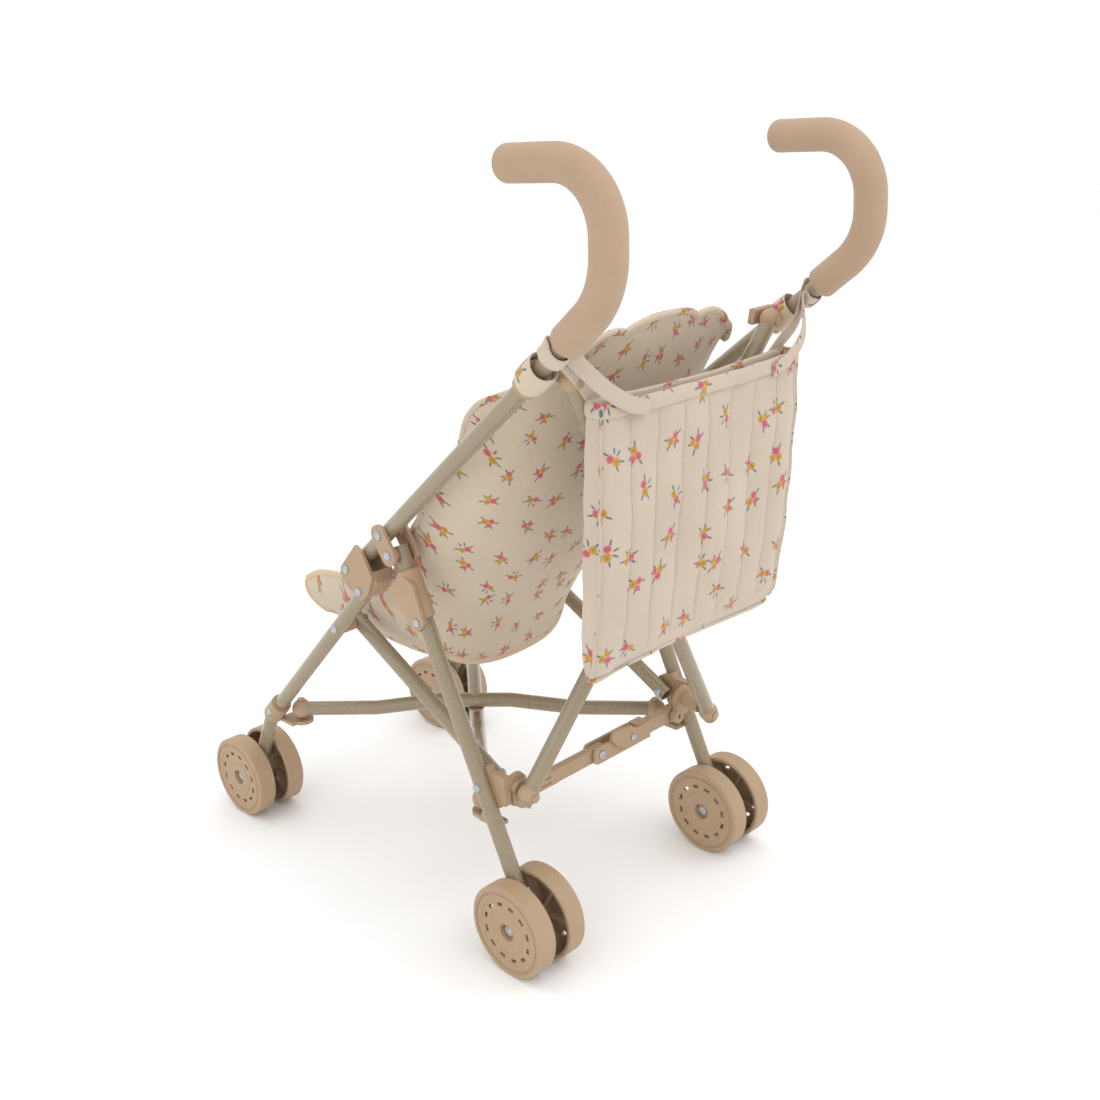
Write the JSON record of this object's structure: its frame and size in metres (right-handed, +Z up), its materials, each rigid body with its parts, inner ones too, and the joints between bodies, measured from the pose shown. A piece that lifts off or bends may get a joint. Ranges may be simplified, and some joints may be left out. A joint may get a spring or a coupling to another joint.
{
  "type": "doll stroller",
  "caption": "Folding umbrella-style doll stroller: bent tube handles with foam grips, crossed braces, lock bar, double wheels, fabric sling seat and quilted rear bag.",
  "frame": {"origin": "on the floor, at the centre of the outline seen from above", "axes": "+Z up, -Y the way the doll faces and the stroller rolls, +X the left side"},
  "size_m": [0.2678, 0.4831, 0.5506],
  "materials": {
    "taupe_paint": "gloss",
    "tan_plastic": "satin",
    "foam": "matte foam",
    "zinc": "satin",
    "floral_fabric": "woven cotton, small flower print"
  },
  "bodies": {
    "left_handle": {"handle_tube_left": "taupe_paint", "grip_left": "foam", "top_block_left": "tan_plastic", "seat_sling": "floral_fabric", "bag": "floral_fabric", "bag_strap_left": "floral_fabric", "bag_strap_right": "floral_fabric"},
    "right_handle": {"handle_tube_right": "taupe_paint", "grip_right": "foam", "top_block_right": "tan_plastic"},
    "left_link": {"link_left": "tan_plastic", "link_rivets_left": "zinc"},
    "left_rear_leg": {"rear_leg_left": "taupe_paint", "leg_sleeve_left": "tan_plastic", "corner_bracket_left": "tan_plastic", "rear_axle_left": "zinc", "rear_rivets_left": "zinc"},
    "left_front_leg": {"front_leg_left": "taupe_paint", "knee_bracket_left": "tan_plastic", "front_collar_left": "tan_plastic", "front_axle_left": "zinc", "front_rivets_left": "zinc"},
    "left_side_brace": {"side_brace_left": "taupe_paint", "side_brace_rivets_left": "zinc"},
    "back_brace_a": {"back_brace_a": "taupe_paint", "back_brace_fittings_a": "tan_plastic"},
    "floor_brace_a": {"floor_brace_a": "taupe_paint", "floor_brace_fittings_a": "tan_plastic", "cross_washer": "tan_plastic"},
    "right_link": {"link_right": "tan_plastic", "link_rivets_right": "zinc"},
    "right_rear_leg": {"rear_leg_right": "taupe_paint", "leg_sleeve_right": "tan_plastic", "corner_bracket_right": "tan_plastic", "rear_axle_right": "zinc", "rear_rivets_right": "zinc"},
    "right_front_leg": {"front_leg_right": "taupe_paint", "knee_bracket_right": "tan_plastic", "front_collar_right": "tan_plastic", "front_axle_right": "zinc", "front_rivets_right": "zinc"},
    "right_side_brace": {"side_brace_right": "taupe_paint", "side_brace_rivets_right": "zinc"},
    "back_brace_b": {"back_brace_b": "taupe_paint", "back_brace_fittings_b": "tan_plastic"},
    "floor_brace_b": {"floor_brace_b": "taupe_paint", "floor_brace_fittings_b": "tan_plastic"},
    "left_lock_bar": {"lock_bar_left": "tan_plastic"},
    "right_lock_bar": {"lock_bar_right": "tan_plastic", "lock_bar_rivets": "zinc"},
    "lock_latch": {"latch": "tan_plastic"},
    "left_front_wheel_inner": {"front_wheel_inner_left": "tan_plastic"},
    "left_front_wheel_outer": {"front_wheel_outer_left": "tan_plastic"},
    "left_rear_wheel_inner": {"rear_wheel_inner_left": "tan_plastic"},
    "left_rear_wheel_outer": {"rear_wheel_outer_left": "tan_plastic"},
    "right_front_wheel_inner": {"front_wheel_inner_right": "tan_plastic"},
    "right_front_wheel_outer": {"front_wheel_outer_right": "tan_plastic"},
    "right_rear_wheel_inner": {"rear_wheel_inner_right": "tan_plastic"},
    "right_rear_wheel_outer": {"rear_wheel_outer_right": "tan_plastic"}
  },
  "joints": [
    {"name": "fold_slide", "type": "slide", "parent": "left_handle", "child": "right_handle", "axis": [1, 0, 0], "range_m": [0, 0.14], "deforming": ["seat_sling", "bag", "bag_strap_left", "bag_strap_right"]},
    {"name": "left_link_hinge", "type": "hinge", "parent": "left_handle", "child": "left_link", "pos_m": [0.105, 0.0056, 0.2931], "axis": [1, 0, 0], "range_deg": [0, 39.66]},
    {"name": "left_rear_leg_hinge", "type": "hinge", "parent": "left_link", "child": "left_rear_leg", "pos_m": [0.105, 0.0143, 0.2802], "axis": [1, 0, 0], "range_deg": [-71.95, 0]},
    {"name": "left_front_leg_hinge", "type": "hinge", "parent": "left_handle", "child": "left_front_leg", "pos_m": [0.1065, -0.0381, 0.2582], "axis": [1, 0, 0], "range_deg": [-71.03, 0]},
    {"name": "left_side_brace_hinge", "type": "hinge", "parent": "left_front_leg", "child": "left_side_brace", "pos_m": [0.089, -0.066, 0.2033], "axis": [1, 0, 0], "range_deg": [0, 42.59]},
    {"name": "back_brace_a_hinge", "type": "hinge", "parent": "left_handle", "child": "back_brace_a", "pos_m": [0.103, 0.1811, 0.41976], "axis": [-0.5671, -0.8216, -0.057], "range_deg": [0, 31.83]},
    {"name": "floor_brace_a_hinge", "type": "hinge", "parent": "left_front_leg", "child": "floor_brace_a", "pos_m": [0.093, -0.152, 0.1035], "axis": [0.5944, 0.2119, -0.7758], "range_deg": [0, 39.45]},
    {"name": "left_lock_bar_hinge", "type": "hinge", "parent": "left_rear_leg", "child": "left_lock_bar", "pos_m": [0.084, 0.0916, 0.11], "axis": [0, 1, 0], "range_deg": [0, 80.91]},
    {"name": "right_link_hinge", "type": "hinge", "parent": "right_handle", "child": "right_link", "pos_m": [-0.105, 0.0056, 0.2931], "axis": [1, 0, 0], "range_deg": [0, 39.66]},
    {"name": "right_rear_leg_hinge", "type": "hinge", "parent": "right_link", "child": "right_rear_leg", "pos_m": [-0.105, 0.0143, 0.2802], "axis": [1, 0, 0], "range_deg": [-71.95, 0]},
    {"name": "right_front_leg_hinge", "type": "hinge", "parent": "right_handle", "child": "right_front_leg", "pos_m": [-0.1065, -0.0381, 0.2582], "axis": [1, 0, 0], "range_deg": [-71.03, 0]},
    {"name": "right_side_brace_hinge", "type": "hinge", "parent": "right_front_leg", "child": "right_side_brace", "pos_m": [-0.089, -0.066, 0.2033], "axis": [1, 0, 0], "range_deg": [0, 42.59]},
    {"name": "back_brace_b_hinge", "type": "hinge", "parent": "right_handle", "child": "back_brace_b", "pos_m": [-0.103, 0.1689, 0.42204], "axis": [-0.5687, 0.8214, 0.043], "range_deg": [0, 31.41]},
    {"name": "floor_brace_b_hinge", "type": "hinge", "parent": "right_front_leg", "child": "floor_brace_b", "pos_m": [-0.093, -0.152, 0.1035], "axis": [0.5944, -0.2119, 0.7758], "range_deg": [0, 39.45]},
    {"name": "right_lock_bar_hinge", "type": "hinge", "parent": "right_rear_leg", "child": "right_lock_bar", "pos_m": [-0.084, 0.0916, 0.11], "axis": [0, -1, 0], "range_deg": [0, 80.91]},
    {"name": "latch_hinge", "type": "hinge", "parent": "right_lock_bar", "child": "lock_latch", "pos_m": [-0.031, 0.0985, 0.113], "axis": [0, 1, 0], "range_deg": [0, 14], "stiffness_Nm_per_rad": 0.05},
    {"name": "left_front_wheel_outer_spin", "type": "hinge", "parent": "left_front_leg", "child": "left_front_wheel_outer", "pos_m": [0.1206, -0.2075, 0.034], "axis": [1, 0, 0], "continuous": true},
    {"name": "left_front_wheel_inner_spin", "type": "hinge", "parent": "left_front_leg", "child": "left_front_wheel_inner", "pos_m": [0.0924, -0.2075, 0.034], "axis": [1, 0, 0], "continuous": true},
    {"name": "left_rear_wheel_outer_spin", "type": "hinge", "parent": "left_rear_leg", "child": "left_rear_wheel_outer", "pos_m": [0.1191, 0.1225, 0.034], "axis": [1, 0, 0], "continuous": true},
    {"name": "left_rear_wheel_inner_spin", "type": "hinge", "parent": "left_rear_leg", "child": "left_rear_wheel_inner", "pos_m": [0.0909, 0.1225, 0.034], "axis": [1, 0, 0], "continuous": true},
    {"name": "right_front_wheel_outer_spin", "type": "hinge", "parent": "right_front_leg", "child": "right_front_wheel_outer", "pos_m": [-0.1206, -0.2075, 0.034], "axis": [1, 0, 0], "continuous": true},
    {"name": "right_front_wheel_inner_spin", "type": "hinge", "parent": "right_front_leg", "child": "right_front_wheel_inner", "pos_m": [-0.0924, -0.2075, 0.034], "axis": [1, 0, 0], "continuous": true},
    {"name": "right_rear_wheel_outer_spin", "type": "hinge", "parent": "right_rear_leg", "child": "right_rear_wheel_outer", "pos_m": [-0.1191, 0.1225, 0.034], "axis": [1, 0, 0], "continuous": true},
    {"name": "right_rear_wheel_inner_spin", "type": "hinge", "parent": "right_rear_leg", "child": "right_rear_wheel_inner", "pos_m": [-0.0909, 0.1225, 0.034], "axis": [1, 0, 0], "continuous": true}
  ],
  "couplings": [
    {"joint": "left_link_hinge", "follows": "fold_slide", "rad_per_m": 4.8815},
    {"joint": "left_rear_leg_hinge", "follows": "fold_slide", "rad_per_m": -8.9077},
    {"joint": "left_front_leg_hinge", "follows": "fold_slide", "rad_per_m": -8.7922},
    {"joint": "left_side_brace_hinge", "follows": "fold_slide", "rad_per_m": 5.247},
    {"joint": "back_brace_a_hinge", "follows": "fold_slide", "rad_per_m": 3.9053},
    {"joint": "floor_brace_a_hinge", "follows": "fold_slide", "rad_per_m": 4.8557},
    {"joint": "left_lock_bar_hinge", "follows": "fold_slide", "rad_per_m": 10.024},
    {"joint": "right_link_hinge", "follows": "fold_slide", "rad_per_m": 4.8815},
    {"joint": "right_rear_leg_hinge", "follows": "fold_slide", "rad_per_m": -8.9077},
    {"joint": "right_front_leg_hinge", "follows": "fold_slide", "rad_per_m": -8.7922},
    {"joint": "right_side_brace_hinge", "follows": "fold_slide", "rad_per_m": 5.247},
    {"joint": "back_brace_b_hinge", "follows": "fold_slide", "rad_per_m": 3.8538},
    {"joint": "floor_brace_b_hinge", "follows": "fold_slide", "rad_per_m": 4.8557},
    {"joint": "right_lock_bar_hinge", "follows": "fold_slide", "rad_per_m": 10.024}
  ]
}
